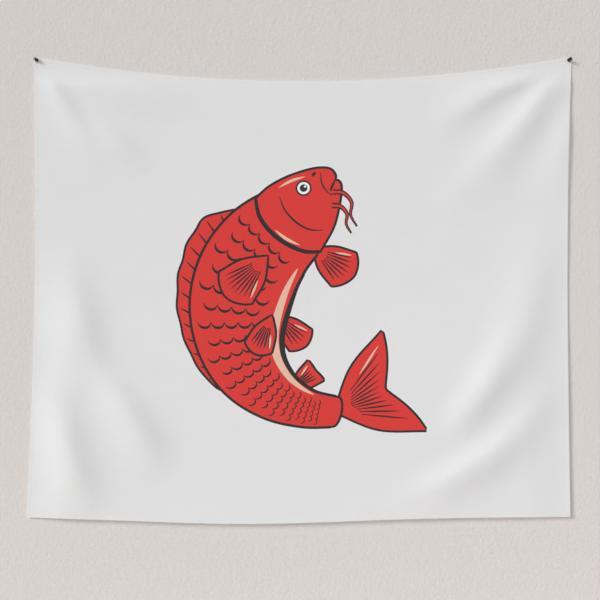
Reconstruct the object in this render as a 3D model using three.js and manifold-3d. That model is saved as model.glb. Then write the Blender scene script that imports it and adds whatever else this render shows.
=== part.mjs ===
import * as THREE from 'three';
import { mergeVertices } from 'three/addons/utils/BufferGeometryUtils.js';
import Module from 'manifold-3d';

// A wall tapestry: a hemmed cloth panel held at its two top corners by push pins.
// Millimetres. The origin is on the wall, midway between the two points where the pins go in.
// +X runs right along the wall, +Z up it and +Y into it, so the cloth lies on the -Y side.

// The cloth panel, as cut and hemmed, lying flat
const clothWidth = 1524;
const clothHeight = 1295;
const clothThickness = 0.5;
const hemWidth = 8;
const hemThickness = 1;
const seamInset = 1.6; // from the hem's inner edge to the seam thread
const threadWidth = 0.6;
const threadThickness = 0.3;
const clearance = 0.3;

// How the hung panel's outline differs from the flat one
const topSag = 70; // middle of the top edge below the corner tips
const tipTuck = 6; // corner tips in from the flat half width
const waistTuck = { left: 15, right: 20.5 }; // narrowest places of the side edges
const footTuck = { left: -13, right: 11.5 }; // bottom corners
const tipFade = 5; // powers that shape the side edges towards their ends
const footFade = 2.5;
const hangLoss = 3; // height that the side edges lose to their curves
const bottomDip = { depth: 19, place: -0.2, spread: 0.55 }; // place and spread in half widths

// Distance of the cloth's back from the wall, apart from the folds
const upperStandoff = 3.5;
const lowerStandoff = 12.5;
const leanStart = 0.46; // share of the height where the lower part starts to stand off
const leanSpan = 0.3;
const fadeDrop = 60; // the cloth leaves its pinned, flat corners over this height
const ripple = { rise: 1.6, across: 5.1, slant: 3, start: 0.6, down: 6, edge: 0.9 }; // long, low waves

// Where the cloth turns: below the pins, and at a fold across the middle
const swingDrop = 20;
const foldDrop = 520;
const bandGap = 0.5;

// Folds, from and to in half widths from the middle and heights from the top edge.
// bow is the sideways bend of the fold line, rise its height towards the room, width its half width
// at both ends, ease the shares of its length over which it rises and dies away,
// and skew makes one flank wider than the other.
const folds = [
  { from: [1.03, -0.02], to: [0.47, 0.34], bow: -14, rise: 16, width: [24, 80], ease: [0.4, 0.6], skew: 1 },
  { from: [0.96, 0], to: [0.42, 0.09], bow: 22, rise: 11, width: [22, 58], ease: [0.4, 0.5], skew: 1.2 },
  { from: [1.04, 0.08], to: [0.9, 0.35], bow: 0, rise: 5, width: [24, 70], ease: [0.4, 0.6], skew: 1.1 },
  { from: [0.94, 0.31], to: [0.71, 0.78], bow: -14, rise: 9, width: [70, 62], ease: [0.6, 0.4], skew: 1.1 },
  { from: [0.82, 0.56], to: [0.51, 0.84], bow: -20, rise: 14, width: [50, 48], ease: [0.5, 0.4], skew: 1.2 },
  { from: [0.98, 0.7], to: [0.31, 0.97], bow: -52, rise: 16, width: [52, 48], ease: [0.5, 0.4], skew: 1.2 },
  { from: [-0.88, 0.41], to: [-0.67, 0.74], bow: 14, rise: 12, width: [85, 60], ease: [0.6, 0.4], skew: 1.2 },
  { from: [-0.85, 0.63], to: [-0.48, 0.9], bow: -4, rise: 15, width: [50, 60], ease: [0.5, 0.4], skew: 1.2 },
  { from: [-0.95, 0.66], to: [-0.71, 1.02], bow: 12, rise: 17, width: [60, 56], ease: [0.5, 0.4], skew: 1.2 },
  { from: [-1.02, 0], to: [-0.38, 0.07], bow: 20, rise: 9, width: [30, 50], ease: [0.4, 0.5], skew: 1.1 },
  { from: [-0.85, 0.1], to: [-0.55, 0.22], bow: 0, rise: 8, width: [44, 46], ease: [0.5, 0.5], skew: 1.2 },
  { from: [-1, -0.01], to: [-0.78, 0.34], bow: -8, rise: 6, width: [20, 60], ease: [0.3, 0.6], skew: 1.1 },
];

// Push pins
const pinMargin = 0.9; // cloth between the hems' inner edges and the needle's hole
const pinTilt = 22; // degrees, head leaning up and outwards
const needleRadius = 0.6;
const needleReach = 11; // needle length in front of the head
const needlePoint = 3;
const headLength = 13;
const flangeRadius = 5.5;
const flangeThickness = 2;
const waistRadius = 2.8;
const knobRadius = 4.5;
const socketDepth = 9;
const pinSides = 20;

// Mesh steps along the flat panel, apart from the hem lines
const columnSteps = 34;
const rowSteps = 28;

const wasm = await Module();
wasm.setup();

const halfWidth = clothWidth / 2;
const hemBack = 0;
const hemFront = hemBack + hemThickness;
const clothBack = hemFront + clearance;
const clothFront = clothBack + clothThickness;
const threadBack = clothFront + clearance;
const threadFront = threadBack + threadThickness;
const holeRadius = needleRadius + clearance;
const pinInset = hemWidth + pinMargin + holeRadius; // from the cloth's edges to the needle
const seamOuter = hemWidth - seamInset - threadWidth;
const seamInner = hemWidth - seamInset;

const materials = {
  cloth: new THREE.MeshStandardMaterial({ color: 0xe3e2e1, roughness: 0.9, metalness: 0 }),
  hem: new THREE.MeshStandardMaterial({ color: 0xe8e7e6, roughness: 0.9, metalness: 0 }),
  thread: new THREE.MeshStandardMaterial({ color: 0xf0efee, roughness: 0.7, metalness: 0 }),
  plastic: new THREE.MeshStandardMaterial({ color: 0x161617, roughness: 0.35, metalness: 0 }),
  steel: new THREE.MeshStandardMaterial({ color: 0xb9bcc0, roughness: 0.3, metalness: 1 }),
};

function smooth(t) {
  const s = Math.min(Math.max(t, 0), 1);
  return s * s * (3 - 2 * s);
}

// Side edge's distance from the middle, at a share of the height
function sideReach(side, share) {
  const waist = halfWidth - waistTuck[side];
  const tip = (waistTuck[side] - tipTuck) * (1 - share) ** tipFade;
  const foot = (waistTuck[side] - footTuck[side]) * share ** footFade;
  return waist + tip + foot;
}

// Drop of a point of the panel below the corner tips
function dropOf(across, share) {
  const top = topSag * (1 - across ** 2);
  const dip = bottomDip.depth * Math.exp(-(((across - bottomDip.place) / bottomDip.spread) ** 2));
  const bottom = clothHeight - hangLoss + dip;
  return top + (bottom - top) * share;
}

// A fold's height at a point: a bell across its line, which eases in and out along it
function foldRise(fold, u, v) {
  const start = [fold.from[0] * halfWidth, fold.from[1] * clothHeight];
  const end = [fold.to[0] * halfWidth, fold.to[1] * clothHeight];
  const run = [end[0] - start[0], end[1] - start[1]];
  const length = Math.hypot(run[0], run[1]);
  const along = ((u - start[0]) * run[0] + (v - start[1]) * run[1]) / length ** 2;
  const share = Math.min(Math.max(along, 0), 1);
  const off = ((v - start[1]) * run[0] - (u - start[0]) * run[1]) / length;
  const bent = off - fold.bow * 4 * share * (1 - share);
  const width = fold.width[0] + (fold.width[1] - fold.width[0]) * share;
  const aside = bent / (bent > 0 ? width * fold.skew : width / fold.skew);
  const ease = smooth(along / fold.ease[0]) * smooth((1 - along) / fold.ease[1]);
  return fold.rise * Math.exp(-(aside ** 2)) * ease;
}

// Long, low waves that grow from the middle of the panel to its sides
function rippleRise(across, share) {
  const wave = Math.sin(ripple.across * across + ripple.slant * share + ripple.start);
  return ripple.rise * wave * Math.sin(ripple.down * share) * smooth(Math.abs(across) / ripple.edge);
}

const pinAcross = 1 - pinInset / halfWidth;
const tipHeight = dropOf(pinAcross, pinInset / clothHeight); // puts the pins at height 0

// The hung place of a point of the flat panel, u from its middle and v down from its top edge
function hang(u, v) {
  const across = u / halfWidth;
  const share = v / clothHeight;
  const left = sideReach('left', share);
  const right = sideReach('right', share);
  const x = -left + ((left + right) * (across + 1)) / 2;
  const z = tipHeight - dropOf(across, share);
  const lean = (lowerStandoff - upperStandoff) * smooth((share - leanStart) / leanSpan);
  const rise = folds.reduce((sum, fold) => sum + foldRise(fold, u, v), rippleRise(across, share));
  const depth = smooth((-swingDrop - z) / fadeDrop) * (upperStandoff + lean + rise);
  return new THREE.Vector3(x, -depth, z);
}

// Lines of the panel's grid along one side: the hem and seam lines at both ends, even steps between
function gridLines(length, steps) {
  const edge = [0, seamOuter, seamInner, hemWidth, hemWidth + clearance];
  const first = edge[edge.length - 1];
  const step = (length - 2 * first) / steps;
  const middle = Array.from({ length: steps - 1 }, (_, i) => first + step * (i + 1));
  return [...edge, ...middle, ...edge.map((place) => length - place).reverse()];
}

const uLines = gridLines(clothWidth, columnSteps).map((place) => place - halfWidth);
const vLines = gridLines(clothHeight, rowSteps);

// A closed layer of the hung panel over the grid cells that covers picks,
// between two distances in front of the drape
function layer(covers, back, front) {
  const places = [];
  const numbers = new Map();
  const triangles = [];
  const middle = (lines, i) => (lines[i] + lines[i + 1]) / 2;
  const covered = (i, j) =>
    i >= 0 && j >= 0 && i < uLines.length - 1 && j < vLines.length - 1 &&
    covers(middle(uLines, i), middle(vLines, j));
  const vertex = (i, j, offset) => {
    const key = `${i},${j},${offset}`;
    if (!numbers.has(key)) {
      const place = hang(uLines[i], vLines[j]);
      numbers.set(key, places.length / 3);
      places.push(place.x, place.y - offset, place.z);
    }
    return numbers.get(key);
  };
  for (let j = 0; j < vLines.length - 1; j += 1) {
    for (let i = 0; i < uLines.length - 1; i += 1) {
      if (!covered(i, j)) continue;
      const ring = [[i, j], [i, j + 1], [i + 1, j + 1], [i + 1, j]];
      const beside = [[i - 1, j], [i, j + 1], [i + 1, j], [i, j - 1]];
      const near = ring.map(([a, b]) => vertex(a, b, front));
      const far = ring.map(([a, b]) => vertex(a, b, back));
      triangles.push(near[0], near[1], near[2], near[0], near[2], near[3]);
      triangles.push(far[0], far[2], far[1], far[0], far[3], far[2]);
      beside.forEach(([a, b], side) => {
        if (covered(a, b)) return;
        const next = (side + 1) % 4;
        triangles.push(near[next], near[side], far[side], near[next], far[side], far[next]);
      });
    }
  }
  const geometry = new THREE.BufferGeometry();
  geometry.setAttribute('position', new THREE.Float32BufferAttribute(places, 3));
  geometry.setIndex(triangles);
  return solidOf(geometry);
}

function solidOf(geometry) {
  const bare = geometry.clone();
  bare.deleteAttribute('normal');
  bare.deleteAttribute('uv');
  const merged = mergeVertices(bare);
  const vertProperties = new Float32Array(merged.attributes.position.array);
  const triVerts = new Uint32Array(merged.index.array);
  return new wasm.Manifold(new wasm.Mesh({ numProp: 3, vertProperties, triVerts }));
}

function geometryOf(solid) {
  const mesh = solid.getMesh();
  const geometry = new THREE.BufferGeometry();
  geometry.setAttribute('position', new THREE.Float32BufferAttribute(mesh.vertProperties, 3));
  geometry.setIndex(Array.from(mesh.triVerts));
  geometry.computeVertexNormals();
  return geometry;
}

// What lies between two heights, and between two places along the wall
function between(solid, low, high, left = -clothWidth, right = clothWidth) {
  const reach = clothWidth;
  const box = new THREE.BoxGeometry(right - left, reach, high - low);
  box.translate((left + right) / 2, 0, (low + high) / 2);
  return solid.intersect(solidOf(box));
}

const fromTop = (v) => v;
const fromBottom = (v) => clothHeight - v;
const fromSide = (u) => halfWidth - Math.abs(u);
const inSeam = (distance) => distance > seamOuter && distance < seamInner;

// Cells of the cloth, of its hem and of its seam thread.
// The bottom hem runs through both corners, so the side hems stop short of it.
const everywhere = () => true;
const topAndSideHem = (u, v) =>
  fromTop(v) < hemWidth || (fromSide(u) < hemWidth && fromBottom(v) > hemWidth + clearance);
const bottomHem = (u, v) => fromBottom(v) < hemWidth;
const topAndSideSeam = (u, v) => {
  const onSide = inSeam(fromSide(u)) && fromTop(v) > seamOuter && fromBottom(v) > hemWidth;
  const onTop = inSeam(fromTop(v)) && fromSide(u) > seamOuter;
  return onSide || onTop;
};
const bottomSeam = (u, v) => inSeam(fromBottom(v)) && fromSide(u) > seamOuter;

const aboveAll = clothHeight;
const belowAll = -2 * clothHeight;
const sideBand = halfWidth - 2 * waistTuck.right - hemWidth; // the side hems lie outside this

const tilt = THREE.MathUtils.degToRad(pinTilt);
const pinSigns = { left: -1, right: 1 };

// Direction in which a pin stands out of the wall
function pinAxis(sign) {
  const aside = Math.sin(tilt) * Math.SQRT1_2;
  return new THREE.Vector3(sign * aside, -Math.cos(tilt), aside);
}

function pinPlace(sign) {
  const place = hang(sign * (halfWidth - pinInset), pinInset);
  return place.add(new THREE.Vector3(0, -(clothBack + clothFront) / 2, 0));
}

// Along the pin, from where it passes the cloth to the head's flange,
// whose lower rim then clears the seam thread
const flangeStart = (threadFront + clearance - clothBack + flangeRadius * Math.sin(tilt)) / Math.cos(tilt);

// The turn that stands a piece made along +Y up along the pin
function pinTurn(sign) {
  return new THREE.Quaternion().setFromUnitVectors(THREE.Object3D.DEFAULT_UP, pinAxis(sign));
}

function pinHole(sign) {
  const geometry = new THREE.CylinderGeometry(holeRadius, holeRadius, 4 * clothFront, pinSides);
  geometry.applyQuaternion(pinTurn(sign));
  const place = pinPlace(sign);
  geometry.translate(place.x, place.y, place.z);
  return solidOf(geometry);
}

function lathe(profile) {
  return new THREE.LatheGeometry(profile.map(([r, y]) => new THREE.Vector2(r, y)), pinSides);
}

function headGeometry() {
  const start = flangeStart;
  const end = start + headLength;
  const rim = flangeThickness / 5;
  const knobStart = end - headLength / 5;
  return lathe([
    [0, start + socketDepth],
    [holeRadius, start + socketDepth],
    [holeRadius, start],
    [flangeRadius - rim, start],
    [flangeRadius, start + rim],
    [flangeRadius, start + flangeThickness - rim],
    [flangeRadius - rim, start + flangeThickness],
    [waistRadius, start + 2 * flangeThickness],
    [waistRadius, knobStart - flangeThickness],
    [knobRadius, knobStart],
    [knobRadius, end - rim],
    [knobRadius - rim, end],
    [0, end],
  ]);
}

function needleGeometry() {
  const tip = flangeStart - needleReach;
  const end = flangeStart + socketDepth - clearance;
  return lathe([[0, tip], [needleRadius, tip + needlePoint], [needleRadius, end], [0, end]]);
}

const tapestry = new THREE.Group();

function addPiece(name, solid, material) {
  const mesh = new THREE.Mesh(geometryOf(solid), material);
  mesh.name = name;
  tapestry.add(mesh);
}

function addPin(side) {
  const group = new THREE.Group();
  const sign = pinSigns[side];
  group.position.copy(pinPlace(sign));
  group.quaternion.copy(pinTurn(sign));
  const head = new THREE.Mesh(headGeometry(), materials.plastic);
  head.name = `pin_head_${side}`;
  const needle = new THREE.Mesh(needleGeometry(), materials.steel);
  needle.name = `pin_needle_${side}`;
  group.add(head, needle);
  tapestry.add(group);
}

const upperTop = -swingDrop - bandGap;
const upperBottom = -foldDrop + bandGap / 2;
const lowerTop = -foldDrop - bandGap / 2;

// One layer's top and side part, cut at the swing and fold lines
function addBands(name, solid, material) {
  addPiece(`${name}_corner_left`, between(solid, -swingDrop, aboveAll, -clothWidth, 0), material);
  addPiece(`${name}_corner_right`, between(solid, -swingDrop, aboveAll, 0, clothWidth), material);
  addPiece(`${name}_top`, between(solid, upperBottom, upperTop, -sideBand, sideBand), material);
  for (const [side, left, right] of [['left', -clothWidth, -sideBand], ['right', sideBand, clothWidth]]) {
    addPiece(`${name}_${side}_upper`, between(solid, upperBottom, upperTop, left, right), material);
    addPiece(`${name}_${side}_lower`, between(solid, belowAll, lowerTop, left, right), material);
  }
}

const cloth = layer(everywhere, clothBack, clothFront);
const pinned = cloth.subtract(pinHole(-1)).subtract(pinHole(1));
addPiece('cloth_corner_left', between(pinned, -swingDrop, aboveAll, -clothWidth, 0), materials.cloth);
addPiece('cloth_corner_right', between(pinned, -swingDrop, aboveAll, 0, clothWidth), materials.cloth);
addPiece('cloth_upper', between(cloth, upperBottom, upperTop), materials.cloth);
addPiece('cloth_lower', between(cloth, belowAll, lowerTop), materials.cloth);
addBands('hem', layer(topAndSideHem, hemBack, hemFront), materials.hem);
addPiece('hem_bottom', layer(bottomHem, hemBack, hemFront), materials.hem);
addBands('seam', layer(topAndSideSeam, threadBack, threadFront), materials.thread);
addPiece('seam_bottom', layer(bottomSeam, threadBack, threadFront), materials.thread);
addPin('left');
addPin('right');

export default tapestry;
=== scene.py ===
# A hemmed cloth wall tapestry with a printed leaping carp, held at its top corners by two push pins.
# Metres in the scene, millimetres in the making. +X runs right along the wall, +Z up, +Y into the wall.
import math

import bpy
import numpy as np
from mathutils.geometry import delaunay_2d_cdt
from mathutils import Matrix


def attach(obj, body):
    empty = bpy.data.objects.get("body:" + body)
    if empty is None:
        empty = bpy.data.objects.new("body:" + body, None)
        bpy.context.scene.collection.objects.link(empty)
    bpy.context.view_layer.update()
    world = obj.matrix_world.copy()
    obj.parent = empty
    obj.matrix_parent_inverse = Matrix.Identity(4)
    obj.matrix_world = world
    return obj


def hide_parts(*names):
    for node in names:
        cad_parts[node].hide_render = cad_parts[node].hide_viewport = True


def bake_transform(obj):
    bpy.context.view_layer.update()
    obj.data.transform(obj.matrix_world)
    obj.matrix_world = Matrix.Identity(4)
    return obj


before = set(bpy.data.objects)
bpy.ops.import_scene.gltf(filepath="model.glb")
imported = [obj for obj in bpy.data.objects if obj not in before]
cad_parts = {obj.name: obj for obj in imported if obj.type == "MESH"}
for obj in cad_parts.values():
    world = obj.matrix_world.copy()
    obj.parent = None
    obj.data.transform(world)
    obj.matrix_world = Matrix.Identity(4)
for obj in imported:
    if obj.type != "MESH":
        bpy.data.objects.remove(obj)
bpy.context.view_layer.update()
print("frame loaded:", len(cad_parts), "solids")

millimetre = 0.001
scene = bpy.context.scene

view = {"centre": (-0.008, 0.0, -0.672), "distance": 3.982, "lens": 85.0}

cameraData = bpy.data.cameras.new("camera")
cameraData.lens = view["lens"]
cameraData.sensor_width = 36.0
camera = bpy.data.objects.new("camera", cameraData)
camera.location = (view["centre"][0], view["centre"][1] - view["distance"], view["centre"][2])
camera.rotation_euler = (math.radians(90), 0, 0)
scene.collection.objects.link(camera)
scene.camera = camera
scene.view_settings.view_transform = "Standard"


# millimetres, and shares of the half width or the height
cloth = {
    "width": 1524.0,
    "height": 1295.0,
    "thickness": 0.5,
    "back": 1.3,  # from the drape's depth to the cloth's back
    "topSag": 70.0,
    "tipTuck": 6.0,  # how far the side edges stand in from half the width: at the top, waist and foot
    "waistTuck": (15.0, 20.5),  # left, right
    "footTuck": (-13.0, 11.5),
    "tipFade": 5.0,  # the powers by which both ends give way to the waist
    "footFade": 2.5,
    "hangLoss": 3.0,
    "bottomDip": (19.0, -0.2, 0.55),  # depth, place, spread
    "standoff": (3.5, 12.5),  # upper part, lower part
    "lean": (0.46, 0.3),  # where one gives way to the other, over which share
    "fade": (20.0, 60.0),  # the corners stay flat down to the first, over the second
    "ripple": (1.6, 5.1, 6.0),  # rise, how fast it comes again across and down
    "edgeBack": (8.8, 5.2),  # how far the left and right edges fall back towards the wall
    "edgeFall": (0.17, 0.3, 0.75),  # over which half width share, and the height shares from none to all
    "pinInset": 9.8,
    "split": 210.0,  # the upper piece ends here, above the print
    "step": 9.0,
    "edgeInsets": (0.5, 3.0, 5.2, 6.1, 7.0, 8.6, 11.0, 16.0),  # lines of points that carry the hem's relief
    "holeRings": (0.9, 1.5, 2.6, 4.2, 7, 10, 14, 19, 25, 32, 40),  # the needle's hole, then what it draws in
    "dimple": (0.3, 2.4),  # depth, spread
    "creases": (0.32, 16.0, 11),  # rise, reach, number round a pin
}

hem = {
    "width": 8.0,
    "bulge": 0.28,  # how far it lifts the front
    "seam": 6.1,  # in from the edge
    "seamDip": (0.14, 0.55),  # depth, spread
    "layer": 0.5,
    "stitch": 2.7,  # length, one to a pitch
    "pitch": 3.4,
    "thread": 0.26,  # half its width
    "step": 6.0,
}

# from, to (half widths from the middle, heights from the top), bow, rise, width at both ends, ease, skew
folds = [
    ((1.03, -0.02), (0.47, 0.34), -14, 12.5, (26, 84), (0.4, 0.6), 0.85),
    ((0.97, 0), (0.44, 0.13), 16, 11, (22, 60), (0.4, 0.5), 1.1),
    ((1.04, 0.08), (0.9, 0.35), 0, 5, (24, 70), (0.4, 0.6), 1.1),
    ((0.94, 0.31), (0.71, 0.78), -14, 9, (70, 62), (0.6, 0.4), 1.1),
    ((0.82, 0.56), (0.51, 0.84), -20, 14, (50, 50), (0.5, 0.4), 0.95),
    ((0.98, 0.7), (0.31, 0.97), -52, 15, (52, 50), (0.5, 0.4), 0.85),
    ((-0.91, 0.37), (-0.74, 0.72), 10, 16, (82, 54), (0.6, 0.45), 1.2),
    ((-0.79, 0.63), (-0.48, 0.91), -4, 14, (46, 60), (0.5, 0.4), 1.1),
    ((-0.95, 0.66), (-0.74, 1.02), 10, 16, (56, 60), (0.5, 0.4), 1.1),
    ((-1.02, 0), (-0.38, 0.07), 20, 9, (30, 50), (0.4, 0.5), 1.1),
    ((-0.85, 0.1), (-0.55, 0.22), 0, 8, (44, 46), (0.5, 0.5), 1.2),
    ((-1, -0.01), (-0.72, 0.27), -6, 7, (18, 56), (0.3, 0.6), 1.1),
]

halfWidth = cloth["width"] / 2


def smooth(t):  # 3t^2 - 2t^3 between 0 and 1
    s = np.clip(t, 0, 1)
    return s * s * (3 - 2 * s)


def sideReach(side, share):
    # the side edge's distance from the middle: its waist, let out by powers of the share towards both ends
    waist = halfWidth - cloth["waistTuck"][side]
    tip = (cloth["waistTuck"][side] - cloth["tipTuck"]) * (1 - share) ** cloth["tipFade"]
    foot = (cloth["waistTuck"][side] - cloth["footTuck"][side]) * np.maximum(share, 0) ** cloth["footFade"]
    return waist + tip + foot


def dropOf(across, share):
    # depth below the corner tips: straight from the top edge's sag to the bottom edge's dip
    depth, place, spread = cloth["bottomDip"]
    top = cloth["topSag"] * (1 - across**2)
    bottom = cloth["height"] - cloth["hangLoss"] + depth * np.exp(-(((across - place) / spread) ** 2))
    return top + (bottom - top) * share


# the corner tips stand this far above the needles' holes
tipHeight = dropOf(1 - cloth["pinInset"] / halfWidth, cloth["pinInset"] / cloth["height"])


def foldRise(u, v, fold):
    # a bell across the fold's bowed line, eased in and out along it
    start, end, bow, rise, width, ease, skew = fold
    u0, v0 = start[0] * halfWidth, start[1] * cloth["height"]
    run = (end[0] * halfWidth - u0, end[1] * cloth["height"] - v0)
    length = math.hypot(*run)
    along = ((u - u0) * run[0] + (v - v0) * run[1]) / length**2
    s = np.clip(along, 0, 1)
    off = ((v - v0) * run[0] - (u - u0) * run[1]) / length - bow * 4 * s * (1 - s)
    half = width[0] + (width[1] - width[0]) * s
    aside = off / np.where(off > 0, half * skew, half / skew)
    return rise * np.exp(-(aside**2)) * smooth(along / ease[0]) * smooth((1 - along) / ease[1])


def drape(u, v):
    # flat place on the cloth to the place of the drape's back, before any layer's own distance
    across, share = u / halfWidth, v / cloth["height"]
    left, right = sideReach(0, share), sideReach(1, share)
    x = -left + (left + right) * (across + 1) / 2
    z = tipHeight - dropOf(across, share)
    upper, lower = cloth["standoff"]
    depth = upper + (lower - upper) * smooth((share - cloth["lean"][0]) / cloth["lean"][1])
    rise, sideways, down = cloth["ripple"]
    ripple = np.sin(sideways * across + 3 * share + 0.6) * np.sin(down * share) * smooth(np.abs(across) / 0.9)
    depth = depth + rise * ripple
    depth = depth + sum(foldRise(u, v, fold) for fold in folds)
    span, begin, full = cloth["edgeFall"]
    fall = smooth((np.abs(across) - 1 + span) / span) * smooth((share - begin) / (full - begin))
    depth = depth - np.where(across < 0, *cloth["edgeBack"]) * fall
    return x, smooth((-cloth["fade"][0] - z) / cloth["fade"][1]) * depth, z


def onCloth(u, v, forward):
    # millimetre points on the hung cloth, forward of the drape's back
    x, depth, z = drape(u, v)
    return np.stack([x, -(depth + forward), z], axis=-1)


def clothRelief(u, v):
    # the front rises over the hem, dips along its seam and towards each pin, and is drawn into creases there
    inset = np.minimum(halfWidth - np.abs(u), np.minimum(v, cloth["height"] - v))
    aside, below = halfWidth - cloth["pinInset"] - np.abs(u), v - cloth["pinInset"]
    fromPin = np.hypot(aside, below)
    overHem = hem["bulge"] * smooth((hem["width"] + 0.6 - inset) / 1.4)
    dip, spread = hem["seamDip"]
    seam = dip * np.exp(-(((inset - hem["seam"]) / spread) ** 2))
    dip, spread = cloth["dimple"]
    dimple = dip * np.exp(-((fromPin / spread) ** 2))
    rise, reach, count = cloth["creases"]
    creases = rise * np.cos(count * np.arctan2(below, aside) + 0.6) * np.exp(-fromPin / reach)
    return overHem + creases * smooth((fromPin - 2) / 9) - seam - dimple


def clothFront(u, v):
    return onCloth(u, v, cloth["back"] + cloth["thickness"] + clothRelief(u, v))


def clothNormals(u, v):
    # square to the front's slopes both ways, facing the room
    e = 0.4
    across = clothFront(u + e, v) - clothFront(u - e, v)
    down = clothFront(u, v + e) - clothFront(u, v - e)
    n = np.cross(down, across)
    n /= np.linalg.norm(n, axis=-1, keepdims=True)
    return n * -np.sign(n[..., 1:2])


def meshObject(name, points, faces, materials, materialOf=None, normals=None, flat=None):
    # points in millimetres, faces as arrays of triangles or quads
    mesh = bpy.data.meshes.new(name)
    first = np.array([face[:3] for face in faces])
    a, b, c = points[first].transpose(1, 0, 2)
    if np.sum(np.cross(a, b) * c) < 0 and normals is None:  # a closed shape that came out inside out
        faces = [face[::-1] for face in faces]
    mesh.from_pydata((points * millimetre).tolist(), [], faces)
    for material in materials:
        mesh.materials.append(material)
    if materialOf is not None:
        mesh.polygons.foreach_set("material_index", np.asarray(materialOf, np.int32))
    mesh.polygons.foreach_set("use_smooth", np.ones(len(mesh.polygons), bool))
    if flat is not None:
        corners = np.empty(len(mesh.loops), np.int32)
        mesh.loops.foreach_get("vertex_index", corners)
        layer = mesh.uv_layers.new(name="flat")
        layer.data.foreach_set("uv", (flat[corners] * millimetre).ravel().astype(np.float32))
    mesh.update()
    if normals is not None:
        mesh.normals_split_custom_set_from_vertices(normals.tolist())
    obj = bpy.data.objects.new(name, mesh)
    scene.collection.objects.link(obj)
    return obj


def tube(rings):
    # rings: (stations, around, 3); quads between them and one face over each end
    stations, around = rings.shape[:2]
    k = np.arange(stations * around).reshape(stations, around)
    a, b = k[:-1], k[1:]
    quads = np.stack([a, np.roll(a, -1, axis=1), np.roll(b, -1, axis=1), b], axis=-1).reshape(-1, 4)
    return rings.reshape(-1, 3), quads.tolist() + [k[0, ::-1].tolist(), k[-1].tolist()]


def newMaterial(name):
    material = bpy.data.materials.new(name)
    material.use_nodes = True
    tree = material.node_tree
    shader = tree.nodes["Principled BSDF"]
    return material, tree, shader


def addNode(tree, kind, settings=None, **links):
    # settings are the node's own; links give an input, by name or as i and its number, a value or an output
    node = tree.nodes.new(kind)
    for key, value in (settings or {}).items():
        setattr(node, key, value)
    for key, value in links.items():
        socket = node.inputs[int(key[1:])] if key[0] == "i" and key[1:].isdigit() else node.inputs[key]
        if isinstance(value, bpy.types.NodeSocket):
            tree.links.new(value, socket)
        else:
            socket.default_value = value
    return node


def linear(*shades):
    # 0 to 255 display shades to the shader's linear colour
    out = [s / 255 for s in shades]
    return tuple(c / 12.92 if c < 0.04045 else ((c + 0.055) / 1.055) ** 2.4 for c in out) + (1.0,)


def noise(tree, place, scale, detail, roughness=0.5):
    links = {"Vector": place, "Scale": scale, "Detail": detail, "Roughness": roughness}
    return addNode(tree, "ShaderNodeTexNoise", None, **links).outputs["Fac"]


def ranged(tree, value, low, high, first, last):
    node = addNode(tree, "ShaderNodeMapRange", None, Value=value, i1=low, i2=high, i3=first, i4=last)
    return node.outputs[0]


def colourMix(tree, share, first, second):
    return addNode(tree, "ShaderNodeMix", {"data_type": "RGBA"}, i0=share, i6=first, i7=second).outputs[2]


def bumped(tree, shader, height, strength, distance):
    relief = addNode(tree, "ShaderNodeBump", None, Strength=strength, Distance=distance, Height=height)
    tree.links.new(relief.outputs[0], shader.inputs["Normal"])


def tinted(tree, shader, colour, share):
    # the base colour, let up and down by the share
    scaled = addNode(tree, "ShaderNodeVectorMath", {"operation": "SCALE"}, i0=colour)
    tree.links.new(share, scaled.inputs["Scale"])
    tree.links.new(scaled.outputs[0], shader.inputs["Base Color"])


weave = {
    "pitch": 0.9,  # two threads, in millimetres
    "slub": (40, 900, 1),  # thick and thin places, long one way
    "cloud": 9.0,
    "depth": 0.00009,  # metres
    "cover": 0.06,  # how far the bare cloth shows between the threads
    "roughness": 0.86,
    "sheen": 0.18,
    "mottle": 0.02,
}


def wovenMaterial(name, shade, ground):
    # plain weave on the cloth's own flat coordinates: ridges one way or the other by a checker
    material, tree, shader = newMaterial(name)
    flat = addNode(tree, "ShaderNodeUVMap", {"uv_map": "flat"}).outputs[0]
    cells = 2000 / weave["pitch"]
    over = addNode(tree, "ShaderNodeTexChecker", None, Vector=flat, Scale=cells).outputs["Fac"]
    ridges = []
    for direction in ("X", "Y"):
        settings = {"wave_type": "BANDS", "bands_direction": direction, "wave_profile": "SIN"}
        wave = addNode(tree, "ShaderNodeTexWave", settings, Vector=flat, Scale=math.pi * cells / 20)
        ridges.append(wave.outputs["Fac"])
    threads = addNode(tree, "ShaderNodeMix", {"data_type": "FLOAT"}, i0=over, i2=ridges[0], i3=ridges[1])
    height = threads.outputs[0]
    slubs = addNode(tree, "ShaderNodeMapping", None, Vector=flat, Scale=weave["slub"]).outputs[0]
    slub, cloud = noise(tree, slubs, 1.0, 3.0), noise(tree, flat, weave["cloud"], 5.0, 0.6)
    both = addNode(tree, "ShaderNodeMath", {"operation": "ADD"}, i0=slub, i1=cloud).outputs[0]
    share = ranged(tree, both, 0.6, 1.4, 1 - weave["mottle"], 1 + weave["mottle"])
    thin = ranged(tree, height, 0.0, 0.5, weave["cover"], 0.0)
    tinted(tree, shader, colourMix(tree, thin, linear(*shade), linear(*ground)), share)
    bumped(tree, shader, height, 0.6, weave["depth"])
    shader.inputs["Roughness"].default_value = weave["roughness"]
    shader.inputs["Sheen Weight"].default_value = weave["sheen"]
    shader.inputs["Specular IOR Level"].default_value = 0.25
    return material


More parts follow.
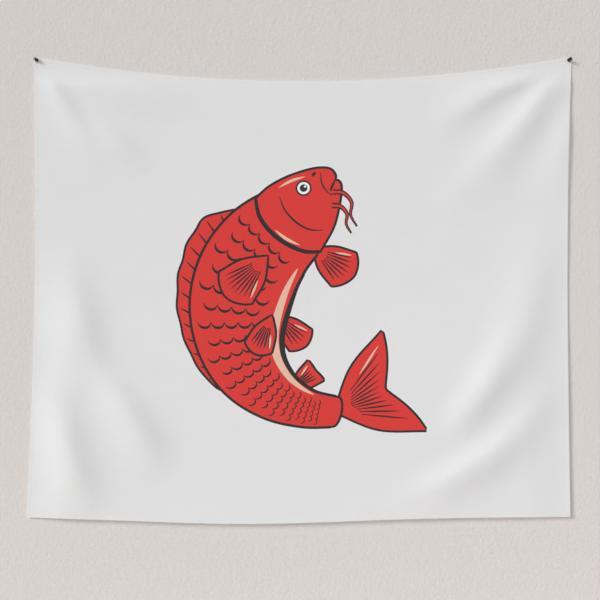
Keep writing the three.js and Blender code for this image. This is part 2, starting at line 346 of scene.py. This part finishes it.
inks = {
    "cloth": (238, 237, 236),
    "red": (227, 52, 46),
    "charcoal": (33, 33, 35),
    "cream": (240, 196, 170),
    "white": (246, 246, 245),
}
inkNames = list(inks)
showThrough = 0.55  # how much of the print's ink reaches the back
bare = inks["cloth"]
frontNames = {"cloth": "clothFront"} | {name: name + "Print" for name in inkNames[1:]}
backNames = {"cloth": "clothBack"} | {name: name + "Through" for name in inkNames[1:]}
faded = {name: [w + showThrough * (c - w) for c, w in zip(inks[name], bare)] for name in inkNames}
frontInks = [wovenMaterial(frontNames[name], inks[name], bare) for name in inkNames]
backInks = [wovenMaterial(backNames[name], faded[name], bare) for name in inkNames]
hemCloth = wovenMaterial("hemCloth", (242, 242, 242), bare)


def plainMaterial(name, shade, roughness, grain, metallic=0.0):
    # an even finish whose colour and gloss wander a little; grain is (scale, depth, spread)
    material, tree, shader = newMaterial(name)
    scale, depth, spread = grain
    place = addNode(tree, "ShaderNodeTexCoord").outputs["Object"]
    level = noise(tree, place, scale, 6.0, 0.6)
    tinted(tree, shader, linear(*shade)[:3], ranged(tree, level, 0.3, 0.7, 1 - spread, 1 + spread))
    gloss = ranged(tree, level, 0.3, 0.7, roughness * 0.85, roughness * 1.15)
    tree.links.new(gloss, shader.inputs["Roughness"])
    bumped(tree, shader, level, 0.5, depth)
    shader.inputs["Metallic"].default_value = metallic
    return material


threadMaterial = plainMaterial("polyesterThread", (246, 246, 245), 0.55, (2600.0, 0.00006, 0.04))
pinPlastic = plainMaterial("blackPlastic", (20, 20, 21), 0.3, (900.0, 0.00003, 0.12))
pinSteel = plainMaterial("brightSteel", (196, 198, 200), 0.22, (1500.0, 0.00001, 0.05), metallic=1.0)
print("materials made:", len(bpy.data.materials))


def smoothLine(points, steps=10):
    # Catmull-Rom: a span leaves each point along half the step between its neighbours
    p = np.asarray(points, float)
    q = np.concatenate([2 * p[:1] - p[1:2], p, 2 * p[-1:] - p[-2:-1]])
    a, b, c, d = q[:-3], q[1:-2], q[2:-1], q[3:]
    t = (np.arange(steps) / steps)[:, None, None]
    spans = 0.5 * (2 * b + (c - a) * t + (2 * a - 5 * b + 4 * c - d) * t**2 + (3 * b - a - 3 * c + d) * t**3)
    return np.concatenate([spans.transpose(1, 0, 2).reshape(-1, p.shape[1]), p[-1:]])


def sidesOf(line):
    # each point's unit sideways direction, to the left of the line's run
    run = np.gradient(line, axis=0)
    run /= np.maximum(np.linalg.norm(run, axis=1, keepdims=True), 1e-9)
    return np.stack([-run[:, 1], run[:, 0]], axis=1)


def stroke(points, width, swell=0.6, start=0.0, end=0.0, steps=6):
    # a brush line: half a sine to a power wide along it, never thinner than its ends
    line = smoothLine(points, steps=steps)
    t = np.linspace(0, 1, len(line))
    half = np.maximum(width * np.sin(np.pi * t) ** swell, start * (1 - t) + end * t)[:, None] / 2
    side = sidesOf(line) * half
    return np.concatenate([line + side, (line - side)[::-1]])


def outline(*lines):
    # a closed shape from smooth lines that meet at corners
    return np.concatenate([smoothLine(line, steps=8)[:-1] for line in lines])


def grown(loop, by):
    # the shape let out by a distance, square to the line between each point's neighbours
    run = np.roll(loop, -1, axis=0) - np.roll(loop, 1, axis=0)
    run /= np.maximum(np.linalg.norm(run, axis=1, keepdims=True), 1e-9)
    x, y = loop.T
    turn = np.sign(np.sum(x * np.roll(y, -1) - y * np.roll(x, -1)))
    return loop + np.stack([run[:, 1], -run[:, 0]], axis=1) * turn * np.reshape(by, (-1, 1))


def oval(centre, across, up=None, turn=0.0, steps=28):
    # an ellipse, its first axis turned up from level by the turn
    a = np.linspace(0, 2 * np.pi, steps, endpoint=False)
    x, y = across * np.cos(a), (up or across) * np.sin(a)
    across = x * np.cos(turn) - y * np.sin(turn)
    rise = x * np.sin(turn) + y * np.cos(turn)
    return np.asarray(centre) + np.stack([across, rise], axis=1)


carp = {  # a plain red carp of this script's own drawing, in millimetres from its own middle
    "place": (0.0, 647.5),  # flat millimetres: across from the cloth's middle, down from its top edge
    "line": 6.5,
    "bodyLine": (7.5, 16.0),  # along the back, and at its heaviest under the belly
    "headLine": 7.0,
    "spine": [  # x, y, half widths towards the back and the belly, from the gills to the tail
        (-36, 230, 116, 118),
        (-104, 164, 132, 134),
        (-156, 82, 138, 142),
        (-182, -14, 134, 138),
        (-176, -112, 120, 120),
        (-138, -198, 102, 96),
        (-70, -266, 78, 70),
        (14, -308, 56, 50),
        (100, -324, 42, 40),
    ],
    "headTurn": 50,  # degrees up from level
    "scales": {"from": 0.1, "to": 0.93, "rowStep": 0.31, "across": 0.3, "inner": -0.6, "weight": 0.06},
    "fins": {  # where it grows, its turn, length, half spread, notch in the middle and rays
        "farChest": ((34, 156), -36, 122, 28, -0.16, 7),
        "farBelly": ((-70, -40), -46, 108, 23, -0.12, 5),
        "rear": ((-24, -254), 38, 92, 23, 0.1, 5),
        "tail": ((98, -324), 23, 266, 37, 0.42, 11),
        "chest": ((-98, 134), 226, 144, 26, -0.16, 8),
        "belly": ((-84, -40), 248, 106, 22, -0.12, 6),
    },
}
carpLine = smoothLine(carp["spine"], steps=16)
carpSide = sidesOf(carpLine[:, :2])
carpLength = np.sum(np.linalg.norm(np.diff(carpLine[:, :2], axis=0), axis=1))


def inBody(s, t):
    # a place in the body: s from gills to tail, t from the belly's edge at -1 to the back's at 1
    f = np.asarray(s, float) * (len(carpLine) - 1)
    k = np.arange(len(carpLine))
    at = np.stack([np.interp(f, k, column) for column in carpLine.T], axis=-1)
    side = np.stack([np.interp(f, k, column) for column in carpSide.T], axis=-1)
    half = np.where(np.asarray(t) > 0, at[..., 2], at[..., 3])
    return at[..., :2] - side * (np.asarray(t) * half)[..., None]


def inHead(*places):
    # places in the head: along it from the gills to the snout, and across it towards the brow
    turn = math.radians(carp["headTurn"])
    along, across = np.asarray(places, float).T
    ahead, aside = np.array([math.cos(turn), math.sin(turn)]), np.array([-math.sin(turn), math.cos(turn)])
    return carpLine[0, :2] + along[:, None] * ahead + across[:, None] * aside


def scaleRows(ink, rows):
    # arcs bowed towards the tail, thickest in the middle, each row moved over by half a scale
    s, odd = rows["from"], 0
    while s < rows["to"]:
        half = float(np.interp(s * (len(carpLine) - 1), np.arange(len(carpLine)), carpLine[:, 2]))
        t = 0.88 - rows["across"] * (0.5 + 0.5 * odd)
        while t > rows["inner"]:
            here, ahead, beside = inBody(s, t), inBody(s + 0.01, t), inBody(s, t - 0.02)
            run = (ahead - here) / np.linalg.norm(ahead - here)
            side = (beside - here) / np.linalg.norm(beside - here)
            turn = np.radians(np.linspace(-80, 80, 7))[:, None]
            line = here + rows["across"] * half * 0.5 * (np.cos(turn) * run + np.sin(turn) * side)
            ink("charcoal", stroke(line, rows["weight"] * half, 0.8, 2.5, 2.5, steps=3))
            t -= rows["across"]
        s += rows["rowStep"] * half / carpLength
        odd = 1 - odd


def fanFin(ink, root, turn, length, spread, notch, count):
    # a fan of rays, whose length falls or grows towards the middle one by the notch
    q = np.linspace(-1, 1, count + 2)
    angle = np.radians(turn + spread * q)
    reach = length * (1 - notch * (1 - np.abs(q) ** 1.5))
    root = np.asarray(root, float)
    rays = reach[:, None] * np.stack([np.cos(angle), np.sin(angle)], axis=1)
    tips = root + rays
    beside = np.stack([-rays[:, 1], rays[:, 0]], axis=1)
    near, far = root + rays[0] / 2 - 0.09 * beside[0], root + rays[-1] / 2 + 0.09 * beside[-1]
    loop = outline([root, near, tips[0]], tips, [tips[-1], far, root])
    ink("charcoal", grown(loop, carp["line"]))
    ink("red", loop)
    for ray in rays[1:-1]:
        ink("charcoal", stroke([root + 0.32 * ray, root + 0.6 * ray, root + 0.88 * ray], 5, 0.7, 3, 0))
    rim = (rays[-1] + rays[-2]) / 2
    ink("cream", stroke([root + 0.5 * rim, root + 0.7 * rim, root + 0.9 * rim], 6, 0.8))


def carpPrint():
    # the print from the bottom up: (ink, outline), millimetres from the print's own middle
    art = []

    def ink(name, *loops):
        art.extend((name, np.asarray(loop, float)) for loop in loops)

    # the fin along the back, highest in front
    q = np.linspace(0, 1, 15)
    s = 0.1 + 0.52 * q
    rise = 0.42 * np.minimum(q / 0.16, 1) ** 0.8 * (1.02 - q) ** 0.5 * (1 - 0.1 * (np.arange(15) % 2))
    backFin = np.concatenate([smoothLine(inBody(s, 1 + rise), steps=5), inBody(s, 0.8 + 0 * s)[::-1]])
    ink("charcoal", grown(backFin, carp["line"]))
    ink("red", backFin)
    for k in range(1, 14):
        foot, tip = inBody(s[k] + 0.02, 0.9), inBody(s[k], 1 + 0.88 * rise[k])
        ink("charcoal", stroke([foot, (foot + tip) / 2, tip], 5.5, 0.7, 5, 0))

    for name in ("farChest", "farBelly", "rear", "tail"):
        fanFin(ink, *carp["fins"][name])

    # body, with its line heavier under the belly, and the pale belly itself
    s = np.linspace(0, 1, 80)
    body = np.concatenate([inBody(s, np.ones(80)), inBody(s, -np.ones(80))[::-1]])
    end = oval((99, -324), 15, 41, -0.18, steps=40)
    back, belly = carp["bodyLine"]
    line = np.concatenate([np.full(80, back), (belly / 2 * (1 + np.sin(np.pi * s) ** 2))[::-1]])
    ink("charcoal", grown(body, line), grown(end, carp["headLine"]))
    ink("red", body, end)
    s = np.linspace(0.1, 0.9, 14)
    ink("cream", stroke(inBody(s, -0.86 + 0 * s), 24, 0.6, steps=3))
    scaleRows(ink, carp["scales"])

    # head, a blunt wedge with its gill cover bowed back over the body
    brow = [(-6, 118), (44, 112), (98, 92), (146, 64), (178, 38), (194, 14), (192, -6), (180, -18)]
    chin = [(180, -18), (182, -34), (168, -50), (124, -78), (68, -104), (-6, -119)]
    gills = [(-6, -119), (-34, -84), (-50, -30), (-52, 24), (-38, 78), (-6, 118)]
    head = outline(inHead(*brow), inHead(*chin), inHead(*gills))
    ink("charcoal", grown(head, carp["headLine"]))
    ink("red", head)
    ink("charcoal", stroke(inHead(*gills), 13, 0.5, 6, 6))
    ink("charcoal", stroke(inHead((46, -86), (24, -56), (16, -14), (22, 34), (42, 72)), 6, 0.5, 2, 2))
    ink("cream", stroke(inHead((-28, -66), (-39, -22), (-40, 20)), 9, 0.8))
    ink("cream", stroke(inHead((60, 92), (100, 77), (136, 54)), 8, 0.8))

    # mouth, closed, with a lip fold behind it and two barbels that hang free
    ink("charcoal", stroke(inHead((184, -18), (168, -22), (152, -28), (140, -40)), 7, 0.5, 5, 2))
    ink("charcoal", stroke(inHead((172, 28), (152, 8), (142, -14), (140, -40)), 4.5, 0.5, 2, 2))
    for place, sway in (((150, -36), 1.0), ((118, -60), 0.8)):
        line = inHead(place) + sway * np.array([(0, 0), (30, -4), (54, -32), (52, -70), (70, -104)])
        ink("charcoal", stroke(line, 0, 1, 17, 6, steps=10))
        ink("red", stroke([line[0] - (9, 0), *line[1:]], 0, 1, 8, 0, steps=10))

    # eye and nostril
    eye, nostril = inHead((106, 36), (156, 40))
    ink("charcoal", oval(eye, 23))
    ink("white", oval(eye, 18))
    ink("charcoal", oval(eye, 11))
    ink("white", oval(eye + (4, 4.5), 3.5, steps=14))
    ink("charcoal", oval(nostril, 8, 4.5, math.radians(carp["headTurn"])))

    for name in ("belly", "chest"):
        fanFin(ink, *carp["fins"][name])
    return art


printArt = [
    (inkNames.index(name), np.stack([carp["place"][0] + loop[:, 0], carp["place"][1] - loop[:, 1]], axis=1))
    for name, loop in carpPrint()
]
print("print drawn:", len(printArt), "shapes")


def insideLoop(points, loop):
    # even or odd crossings of a ray to the right, for many points at once
    x, y = points[:, :1], points[:, 1:]
    x0, y0 = loop.T
    x1, y1 = np.roll(loop, -1, axis=0).T
    spans = (y0 > y) != (y1 > y)
    with np.errstate(divide="ignore", invalid="ignore"):
        crossing = x0 + (y - y0) * (x1 - x0) / (y1 - y0)
    return np.sum(spans & (x < crossing), axis=1) % 2 == 1


def gridLines(low, high, lowInsets, highInsets, step):
    first, last = low + lowInsets[-1], high - highInsets[-1]
    middle = np.linspace(first, last, int(round((last - first) / step)) + 1)
    return np.concatenate([low + np.array(lowInsets[:-1]), middle, high - np.array(highInsets[:-1])[::-1]])


def cellOf(points):
    # a whole number for the three millimetre cell each point is in
    return np.round(points / 3).astype(int) @ np.array([100000, 1])


def flatPanel(top, bottom, topInsets, bottomInsets, art, holes):
    # triangles in flat millimetres, cut along the print's outlines, with the topmost ink of each
    us = gridLines(-halfWidth, halfWidth, cloth["edgeInsets"], cloth["edgeInsets"], cloth["step"])
    vs = gridLines(top, bottom, topInsets, bottomInsets, cloth["step"])
    u, v = np.meshgrid(us, vs)
    grid = np.stack([u.ravel(), v.ravel()], axis=1)
    rows, columns = u.shape
    index = np.arange(rows * columns).reshape(rows, columns)
    rim = np.concatenate([index[0, :-1], index[:-1, -1], index[-1, :0:-1], index[:0:-1, 0]])
    loops = [loop for _, loop in art] + [hole[:, :2] for hole in holes]
    # grid points close to an outline would only make slivers
    steps = np.linspace(0, 1, 8, endpoint=False)[:, None, None]
    dense = [(loop * (1 - steps) + np.roll(loop, -1, axis=0) * steps).reshape(-1, 2) for loop in loops]
    beside = np.array([100000 * i + j for i in (-1, 0, 1) for j in (-1, 0, 1)])
    close = np.unique(cellOf(np.concatenate(dense))[:, None] + beside)
    inner = np.setdiff1d(np.arange(len(grid)), rim)
    inner = inner[~np.isin(cellOf(grid[inner]), close)]
    points = [grid[rim], grid[inner]]
    edges = [np.stack([np.arange(len(rim)), np.roll(np.arange(len(rim)), -1)], axis=1)]
    start = len(rim) + len(inner)
    for loop in loops:
        points.append(loop)
        k = np.arange(len(loop))
        edges.append(np.stack([k, np.roll(k, -1)], axis=1) + start)
        start += len(loop)
    extra = [hole[:, 2:].reshape(-1, 2) for hole in holes]
    extra = [ring[(np.abs(ring[:, 0]) < halfWidth - 1) & (ring[:, 1] > 1)] for ring in extra]
    points = np.concatenate(points + extra) * (1, -1)
    cut = delaunay_2d_cdt(points.tolist(), np.concatenate(edges).tolist(), [], 0, 1e-4, False)
    flat = np.array([tuple(p) for p in cut[0]])
    triangles = np.array(cut[2])
    a, b, c = (flat[triangles[:, i]] for i in range(3))
    size = (b[:, 0] - a[:, 0]) * (c[:, 1] - a[:, 1]) - (b[:, 1] - a[:, 1]) * (c[:, 0] - a[:, 0])
    triangles = np.where((size < 0)[:, None], triangles[:, ::-1], triangles)[np.abs(size) > 1e-6]
    flat = flat * (1, -1)
    middles = flat[triangles].mean(axis=1)
    ink = np.zeros(len(triangles), int)
    keep = np.ones(len(triangles), bool)
    for value, loop in art + [(-1, hole[:, :2]) for hole in holes]:
        low, high = loop.min(axis=0), loop.max(axis=0)
        close = np.flatnonzero(np.all((middles > low) & (middles < high), axis=1))
        hit = close[insideLoop(middles[close], loop)]
        if value < 0:
            keep[hit] = False
        else:
            ink[hit] = value
    return flat, triangles[keep], ink[keep]


def clothPiece(name, flat, triangles, ink):
    # front and back a thickness apart, joined round every open edge
    u, v = flat.T
    normals = clothNormals(u, v)
    points = np.concatenate([clothFront(u, v), onCloth(u, v, cloth["back"])])
    count = len(flat)
    sides = np.concatenate([triangles[:, [0, 1]], triangles[:, [1, 2]], triangles[:, [2, 0]]])
    unmatched = ~np.isin(sides @ np.array([count, 1]), sides[:, ::-1] @ np.array([count, 1]))
    a, b = sides[unmatched].T
    rim = np.stack([b, a, a + count, b + count], axis=1)
    faces = triangles.tolist() + (triangles[:, ::-1] + count).tolist() + rim.tolist()
    materialOf = np.concatenate([ink, ink + len(inkNames), np.zeros(len(rim), int)])
    bothNormals, bothFlat = np.concatenate([normals, -normals]), np.concatenate([flat, flat])
    return meshObject(name, points, faces, frontInks + backInks, materialOf, bothNormals, bothFlat)


def pinHoleRings(sign):
    # the needle's hole, and rings of points round it that carry the dimple
    a = np.linspace(0, 2 * np.pi, 56, endpoint=False)
    place = np.array([sign * (halfWidth - cloth["pinInset"]), cloth["pinInset"]])
    circle = np.stack([np.cos(a), np.sin(a)], axis=1)
    return np.concatenate([place + radius * circle for radius in cloth["holeRings"]], axis=1)


hemmed, plain = cloth["edgeInsets"], (0.0,)
upperFlat = flatPanel(0.0, cloth["split"], hemmed, plain, [], [pinHoleRings(-1), pinHoleRings(1)])
lowerFlat = flatPanel(cloth["split"], cloth["height"], plain, hemmed, printArt, [])
clothUpper = clothPiece("cloth_upper_sheet", *upperFlat)
clothLower = clothPiece("cloth_lower_sheet", *lowerFlat)
print("cloth made:", len(clothUpper.data.polygons), "and", len(clothLower.data.polygons), "faces")


def hemProfile():
    # the turned edge: round from the cloth's rim, back inside it, folded under and out again
    layer, turn = hem["layer"], np.linspace(0, np.pi, 9)
    outer = np.stack([0.55 - 0.4 * np.sin(turn), 1.15 + 0.4 * np.cos(turn)], axis=1)
    inner = np.stack([hem["width"] - 0.5 + 0.25 * np.sin(turn), 0.5 + 0.25 * np.cos(turn)], axis=1)
    line = np.concatenate([outer, [[2.5, 0.75], [5.0, 0.75]], inner, [[5.0, 0.25], [2.5, 0.25], [1.2, 0.25]]])
    side = sidesOf(line) * layer / 2 * 0.96
    return np.concatenate([line + side, (line - side)[::-1]])


def alongEdge(first, last, step):
    return np.linspace(0, 1, max(2, int(abs(last - first) / step)) + 1)[:, None]


def hemPiece(name, split, end):
    # one turned edge down or up one side, across the end and back, mitred at its corners
    inset, forward = hemProfile().T
    far = np.where(end > split, end - inset, end + inset)
    side, across = alongEdge(split, end, hem["step"]), alongEdge(-halfWidth, halfWidth, hem["step"])
    left, right = -halfWidth + inset, halfWidth - inset
    vSide = split + (far - split) * side
    uAcross = left * (1 - across) + right * across
    uLeft, uRight = np.broadcast_to(left, vSide.shape), np.broadcast_to(right, vSide.shape)
    u = np.concatenate([uLeft, uAcross[1:-1], uRight])
    v = np.concatenate([vSide, np.broadcast_to(far, uAcross.shape)[1:-1], vSide[::-1]])
    points, faces = tube(onCloth(u, v, forward))
    flat = np.stack([u, v], axis=-1).reshape(-1, 2)
    return meshObject(name, points, faces, [hemCloth], flat=flat)


# forward of the drape's back, how far the middle stands out, and the share of the thread's width
stitchSides = {
    "front": (cloth["back"] + cloth["thickness"] + 0.14, 0.16, 1.0),
    "back": (0.1, -0.06, 0.7),
}


def stitchPiece(name, split, end):
    # lockstitches: short capped threads that dive into the cloth at both ends, front and back
    far = end - hem["seam"] if end > split else end + hem["seam"]
    sideCount = int(abs(far - split) / hem["pitch"])
    acrossCount = int((2 * halfWidth - 2 * hem["seam"]) / hem["pitch"])
    sideAt = split + (far - split) * (np.arange(sideCount) + 0.5) / sideCount
    acrossAt = (np.arange(acrossCount) + 0.5) / acrossCount * 2 - 1
    reach = halfWidth - hem["seam"]
    u = np.concatenate([np.full(sideCount, -reach), acrossAt * reach, np.full(sideCount, reach)])
    v = np.concatenate([sideAt, np.full(acrossCount, far), sideAt])
    down = np.concatenate([np.ones(sideCount), np.zeros(acrossCount), np.ones(sideCount)])[:, None, None]
    t = np.array([-0.5, -0.3, 0.0, 0.3, 0.5])[None, :, None]
    around = np.linspace(0, 2 * np.pi, 6, endpoint=False)[None, None, :]
    rings = []
    for surface, lift, thick in (stitchSides["front"], stitchSides["back"]):
        thread = hem["thread"] * thick * np.sqrt(1 - (1.7 * t) ** 2)
        along = t * hem["stitch"]
        aside = thread * np.cos(around)
        uu = u[:, None, None] + along * (1 - down) - aside * down
        vv = v[:, None, None] + along * down + aside * (1 - down)
        forward = surface + lift * np.cos(np.pi * t) + thread * np.sin(around) + 0 * uu
        rings.append(onCloth(uu, vv, forward))
    rings = np.concatenate(rings)
    count, stations, sides = rings.shape[:3]
    k = np.arange(count * stations * sides).reshape(count, stations, sides)
    a, b = k[:, :-1], k[:, 1:]
    quads = np.stack([a, np.roll(a, -1, axis=2), np.roll(b, -1, axis=2), b], axis=-1).reshape(-1, 4)
    caps = np.concatenate([k[:, 0, ::-1], k[:, -1]])
    return meshObject(name, rings.reshape(-1, 3), quads.tolist() + caps.tolist(), [threadMaterial])


hemUpper = hemPiece("hem_upper_turned", cloth["split"], 0.0)
hemLower = hemPiece("hem_lower_turned", cloth["split"], cloth["height"])
seamUpper = stitchPiece("seam_upper_stitches", cloth["split"], 0.0)
seamLower = stitchPiece("seam_lower_stitches", cloth["split"], cloth["height"])
print("hems made:", len(seamUpper.data.polygons) + len(seamLower.data.polygons), "stitch faces")


pin = {
    "tilt": 22.0,
    "base": 1.55,  # where its line crosses the cloth, forward of the drape
    "needle": 0.6,
    "reach": 11.0,
    "point": 3.0,
    "start": 3.73,  # along the pin, where the head's flange begins
    "length": 13.0,
    "flange": (5.5, 2.0, 0.55),  # radius, thickness, rounding
    "waist": 2.8,
    "knob": (4.5, 2.6, 1.6),  # radius, height, rounding
    "around": 48,
}


def pinAxis(sign):
    tilt = math.radians(pin["tilt"])
    return np.array([sign * math.sin(tilt) / math.sqrt(2), -math.cos(tilt), math.sin(tilt) / math.sqrt(2)])


def turned(name, profile, sign, material):
    # (radius, place along the pin) pairs carried round the pin's line
    axis = pinAxis(sign)
    side = np.cross(axis, (0, 0, 1.0))
    side /= np.linalg.norm(side)
    up = np.cross(side, axis)
    a = np.linspace(0, 2 * np.pi, pin["around"], endpoint=False)
    circle = np.cos(a)[:, None] * side + np.sin(a)[:, None] * up
    place = np.array([sign * (halfWidth - cloth["pinInset"]), cloth["pinInset"]])
    radius, along = np.asarray(profile, float).T
    rings = onCloth(*place, pin["base"]) + radius[:, None, None] * circle + along[:, None, None] * axis
    points, faces = tube(rings)
    return meshObject(name, points, faces, [material])


def roundedEdge(radius, along, rounding, turn):
    # a quarter turn about a place in the profile; turn gives its first angle in degrees
    a = np.radians(turn + np.linspace(0, 90, 6))
    return np.stack([radius + rounding * np.cos(a), along + rounding * np.sin(a)], axis=1)


def pinHead(sign, name):
    # flange, hollowed waist and domed knob, from the flange's back outwards
    start, end, waist = pin["start"], pin["start"] + pin["length"], pin["waist"]
    radius, thickness, r = pin["flange"]
    knob, knobHeight, knobRound = pin["knob"]
    foot = np.array([[pin["needle"] + 0.25, start + 0.45], [pin["needle"] + 0.5, start]])
    back = roundedEdge(radius - r, start + r, r, -90)
    front = roundedEdge(radius - r, start + thickness - r, r, 0)
    t = np.linspace(0, 1, 18)
    low, high = start + thickness, end - knobHeight
    reach = waist + (radius - 1.3 - waist) * (1 - t) ** 3 + (knob - waist) * t**3.2
    hollow = np.stack([reach, low + (high - low) * t], axis=1)
    dome = roundedEdge(knob - knobRound, end - knobRound - 0.25, knobRound, 0)
    top = np.array([[2.0, end - 0.1], [1.0, end - 0.02], [0.3, end]])
    return turned(name, np.concatenate([foot, back, front, hollow, dome, top]), sign, pinPlastic)


def pinNeedle(sign, name):
    # a straight wire ground to a point
    start = pin["start"]
    tip = start - pin["reach"]
    t = np.linspace(0, 1, 9)
    radius = pin["needle"]
    point = np.stack([0.02 + (radius - 0.02) * t**0.8, tip + pin["point"] * t], axis=1)
    shaft = np.array([[radius, start - 3], [radius, start], [radius, start + 0.6]])
    return turned(name, np.concatenate([point, shaft]), sign, pinSteel)


for sign, side in ((-1, "left"), (1, "right")):
    head = pinHead(sign, f"push_pin_head_{side}")
    needle = pinNeedle(sign, f"push_pin_needle_{side}")
    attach(head, f"{side}_pin")
    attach(needle, f"{side}_pin")
    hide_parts(f"pin_head_{side}")
    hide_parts(f"pin_needle_{side}")
print("pins made")


# bend lines below the pins and at the fold line for the cloth and what is sewn to it; here each piece only
# has its place baked into its points
bends = {
    "upper": ("pinned_corners", "upper_cloth", (0, -0.004, -0.005), (0, -0.004, -0.060)),
    "lower": ("upper_cloth", "lower_cloth", (0, -0.010, -0.480), (0, -0.010, -0.560)),
}
sewn = {"upper": (clothUpper, hemUpper, seamUpper), "lower": (clothLower, hemLower, seamLower)}
for part, (above, below, start, end) in bends.items():
    for piece, slot in zip(sewn[part], ("cloth", "hem", "thread")):
        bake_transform(piece)
corners = ("corner_left", "corner_right")
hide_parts("cloth_upper", *("cloth_" + c for c in corners))
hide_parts("hem_top", "hem_left_upper", "hem_right_upper", *("hem_" + c for c in corners))
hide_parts("seam_top", "seam_left_upper", "seam_right_upper", *("seam_" + c for c in corners))
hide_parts("cloth_lower")
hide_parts("hem_bottom", "hem_left_lower", "hem_right_lower")
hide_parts("seam_bottom", "seam_left_lower", "seam_right_lower")


room = {  # metres
    "wallFrom": (-3.4, -1.7),
    "wallTo": (3.4, 2.4),
    "wallGap": 0.0008,  # behind the frame's wall
    "floorFrom": (-4.0, -5.2),
    "floorTo": (4.0, 3.0),
    "plaster": (229, 222, 217),
    "dabs": 140.0,  # to a metre
    "pits": (90.0, 0.35),  # to a metre, and how deep beside the dabs
    "relief": 0.0026,
    "floorShades": ((206, 205, 204), (214, 213, 212)),
    "sky": ((0.9, 0.92, 0.95, 1), 0.46),
}


def stagePlane(name, points, material):
    mesh = bpy.data.meshes.new(name)
    mesh.from_pydata(points, [], [(0, 1, 2, 3)])
    mesh.materials.append(material)
    obj = bpy.data.objects.new(name, mesh)
    scene.collection.objects.link(obj)
    return obj


def clearBehind(tree, shader, castsShadow):
    # the room is clear from its back side, so that the cloth can be seen from everywhere
    clear = addNode(tree, "ShaderNodeBsdfTransparent")
    share = addNode(tree, "ShaderNodeNewGeometry").outputs["Backfacing"]
    if not castsShadow:
        shadow = addNode(tree, "ShaderNodeLightPath").outputs["Is Shadow Ray"]
        share = addNode(tree, "ShaderNodeMath", {"operation": "MAXIMUM"}, i0=share, i1=shadow).outputs[0]
    chosen = addNode(tree, "ShaderNodeMixShader", None, i0=share, i1=shader.outputs[0], i2=clear.outputs[0])
    tree.links.new(chosen.outputs[0], tree.nodes["Material Output"].inputs["Surface"])


def plasterMaterial():
    # rolled plaster: soft dabs with small pits between them
    material, tree, shader = newMaterial("wallPlaster")
    place = addNode(tree, "ShaderNodeTexCoord").outputs["Object"]
    dabs = noise(tree, place, room["dabs"], 5.0, 0.6)
    scale, depth = room["pits"]
    pits = addNode(tree, "ShaderNodeTexVoronoi", None, Vector=place, Scale=scale).outputs["Distance"]
    mixed = addNode(tree, "ShaderNodeMath", {"operation": "MULTIPLY_ADD"}, i0=pits, i1=depth, i2=dabs)
    bumped(tree, shader, mixed.outputs[0], 0.6, room["relief"])
    shader.inputs["Base Color"].default_value = linear(*room["plaster"])
    shader.inputs["Roughness"].default_value = 0.9
    shader.inputs["Specular IOR Level"].default_value = 0.2
    clearBehind(tree, shader, castsShadow=False)
    return material


def floorMaterial():
    material, tree, shader = newMaterial("paleFloor")
    place = addNode(tree, "ShaderNodeTexCoord").outputs["Object"]
    shade = colourMix(tree, noise(tree, place, 3.0, 5.0), *(linear(*tone) for tone in room["floorShades"]))
    tree.links.new(shade, shader.inputs["Base Color"])
    shader.inputs["Roughness"].default_value = 0.7
    clearBehind(tree, shader, castsShadow=True)
    return material


(x0, z0), (x1, z1) = room["wallFrom"], room["wallTo"]
y = room["wallGap"]
stagePlane("wall", [(x0, y, z0), (x1, y, z0), (x1, y, z1), (x0, y, z1)], plasterMaterial())
(x0, y0), (x1, y1) = room["floorFrom"], room["floorTo"]
stagePlane("floor", [(x0, y0, z0), (x1, y0, z0), (x1, y1, z0), (x0, y1, z0)], floorMaterial())


# name: (kind, place, aimed at, size in metres or, for the far one, degrees, strength)
lamps = {
    "key": ("SUN", (-7.6, -5.8, 3.7), (0, 0, -0.7), 24.0, 1.97),
    "fill": ("AREA", (0.3, -4.6, -2.5), (0, 0, -0.9), 2.8, 58.0),
    "behind": ("AREA", (0.6, 3.2, 0.4), (0, 0, -0.7), 2.5, 60.0),
}
for name, (kind, place, aim, size, strength) in lamps.items():
    lamp = bpy.data.lights.new(name, kind)
    lamp.energy = strength
    if kind == "SUN":
        lamp.angle = math.radians(size)
    else:
        lamp.size = size
    obj = bpy.data.objects.new(name, lamp)
    obj.location = place
    x, y, z = np.subtract(aim, place)
    obj.rotation_euler = (math.atan2(math.hypot(x, y), -z), 0, math.atan2(y, x) - math.pi / 2)
    scene.collection.objects.link(obj)
world = bpy.data.worlds.new("room")
world.use_nodes = True
background = world.node_tree.nodes["Background"]
background.inputs["Color"].default_value, background.inputs["Strength"].default_value = room["sky"]
scene.world = world
print("stage and lamps set")

bpy.context.view_layer.update()
